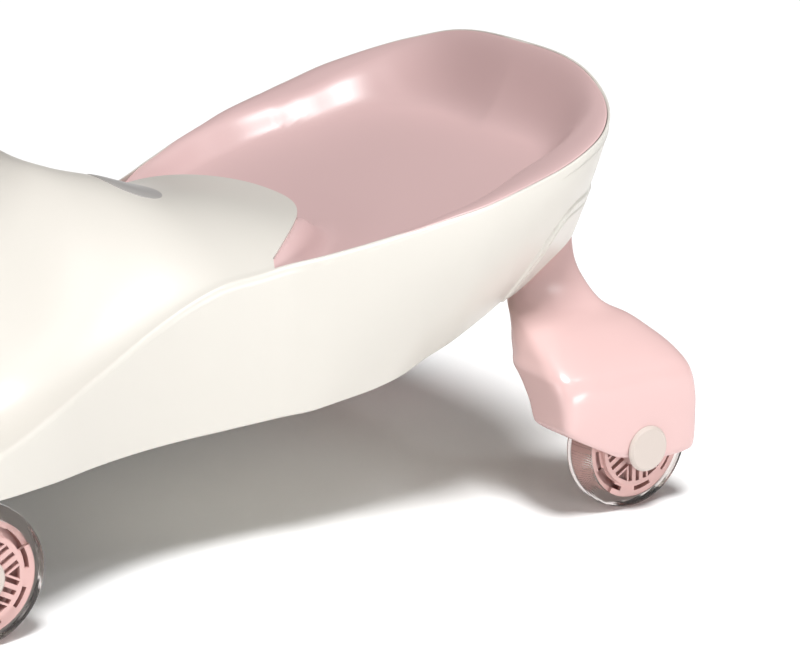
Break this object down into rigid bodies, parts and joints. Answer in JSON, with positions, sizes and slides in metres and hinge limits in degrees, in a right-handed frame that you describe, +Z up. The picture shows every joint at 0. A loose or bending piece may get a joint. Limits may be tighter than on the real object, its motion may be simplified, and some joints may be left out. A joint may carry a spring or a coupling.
{
  "type": "wiggle car",
  "caption": "Low ride-on wiggle car with moulded seat, side foot rests, rear wheel pods, steered front wheels and small safety wheels under the nose.",
  "frame": {"origin": "on the floor under the middle of the car's length and width", "axes": "+X forward to the nose, +Y to the car's left, +Z up"},
  "size_m": [0.663, 0.379, 0.402],
  "materials": {
    "shell": "satin cream-white moulded plastic",
    "seat": "satin pink moulded plastic",
    "pod": "satin light pink moulded plastic",
    "tyre": "clear soft polyurethane tread",
    "hub": "satin pink moulded plastic",
    "cap": "satin warm grey plastic",
    "steel": "zinc-plated steel",
    "bush": "dark grey nylon",
    "inner": "cream moulded plastic",
    "yoke": "grey reinforced nylon",
    "roller": "dark grey hard plastic",
    "badge": "plain satin grey plate"
  },
  "bodies": {
    "chassis": {"body_shell": "shell", "seat_tub": "seat", "underbody_tray": "inner", "rear_pod_left": "pod", "rear_pod_right": "pod", "rear_left_axle": "steel", "rear_right_axle": "steel", "rear_left_hub_cap": "cap", "rear_right_hub_cap": "cap", "upper_bush": "bush", "lower_bush": "bush", "steering_bracket": "inner", "safety_bracket": "inner", "safety_left_axle": "steel", "safety_right_axle": "steel", "bonnet_badge": "badge", "tray_screws": "steel", "pod_screws": "steel"},
    "steering": {"steering_yoke": "yoke", "steering_column": "steel", "column_collar": "pod", "steering_wheel": "pod", "steering_wheel_cap": "shell", "steering_screw": "steel", "front_left_axle": "steel", "front_right_axle": "steel"},
    "rear_left_wheel": {"rear_left_tyre": "tyre", "rear_left_hub": "hub", "rear_left_bearings": "steel"},
    "rear_right_wheel": {"rear_right_tyre": "tyre", "rear_right_hub": "hub", "rear_right_bearings": "steel"},
    "front_left_wheel": {"front_left_tyre": "tyre", "front_left_hub": "hub", "front_left_bearings": "steel", "front_left_hub_cap": "cap"},
    "front_right_wheel": {"front_right_tyre": "tyre", "front_right_hub": "hub", "front_right_bearings": "steel", "front_right_hub_cap": "cap"},
    "safety_left_roller": {"safety_left_wheel": "roller"},
    "safety_right_roller": {"safety_right_wheel": "roller"}
  },
  "joints": [
    {"name": "steering_turn", "type": "hinge", "parent": "chassis", "child": "steering", "pos_m": [0.2115, 0, 0.06], "axis": [0, 0, 1], "range_deg": [-40, 40]},
    {"name": "rear_left_spin", "type": "hinge", "parent": "chassis", "child": "rear_left_wheel", "pos_m": [-0.2865, 0.165, 0.045], "axis": [0, 1, 0], "continuous": true},
    {"name": "rear_right_spin", "type": "hinge", "parent": "chassis", "child": "rear_right_wheel", "pos_m": [-0.2865, -0.165, 0.045], "axis": [0, 1, 0], "continuous": true},
    {"name": "front_left_spin", "type": "hinge", "parent": "steering", "child": "front_left_wheel", "pos_m": [0.1815, 0.138, 0.045], "axis": [0, 1, 0], "continuous": true},
    {"name": "front_right_spin", "type": "hinge", "parent": "steering", "child": "front_right_wheel", "pos_m": [0.1815, -0.138, 0.045], "axis": [0, 1, 0], "continuous": true},
    {"name": "safety_left_spin", "type": "hinge", "parent": "chassis", "child": "safety_left_roller", "pos_m": [0.2955, 0.042, 0.031], "axis": [0, 1, 0], "continuous": true},
    {"name": "safety_right_spin", "type": "hinge", "parent": "chassis", "child": "safety_right_roller", "pos_m": [0.2955, -0.042, 0.031], "axis": [0, 1, 0], "continuous": true}
  ]
}
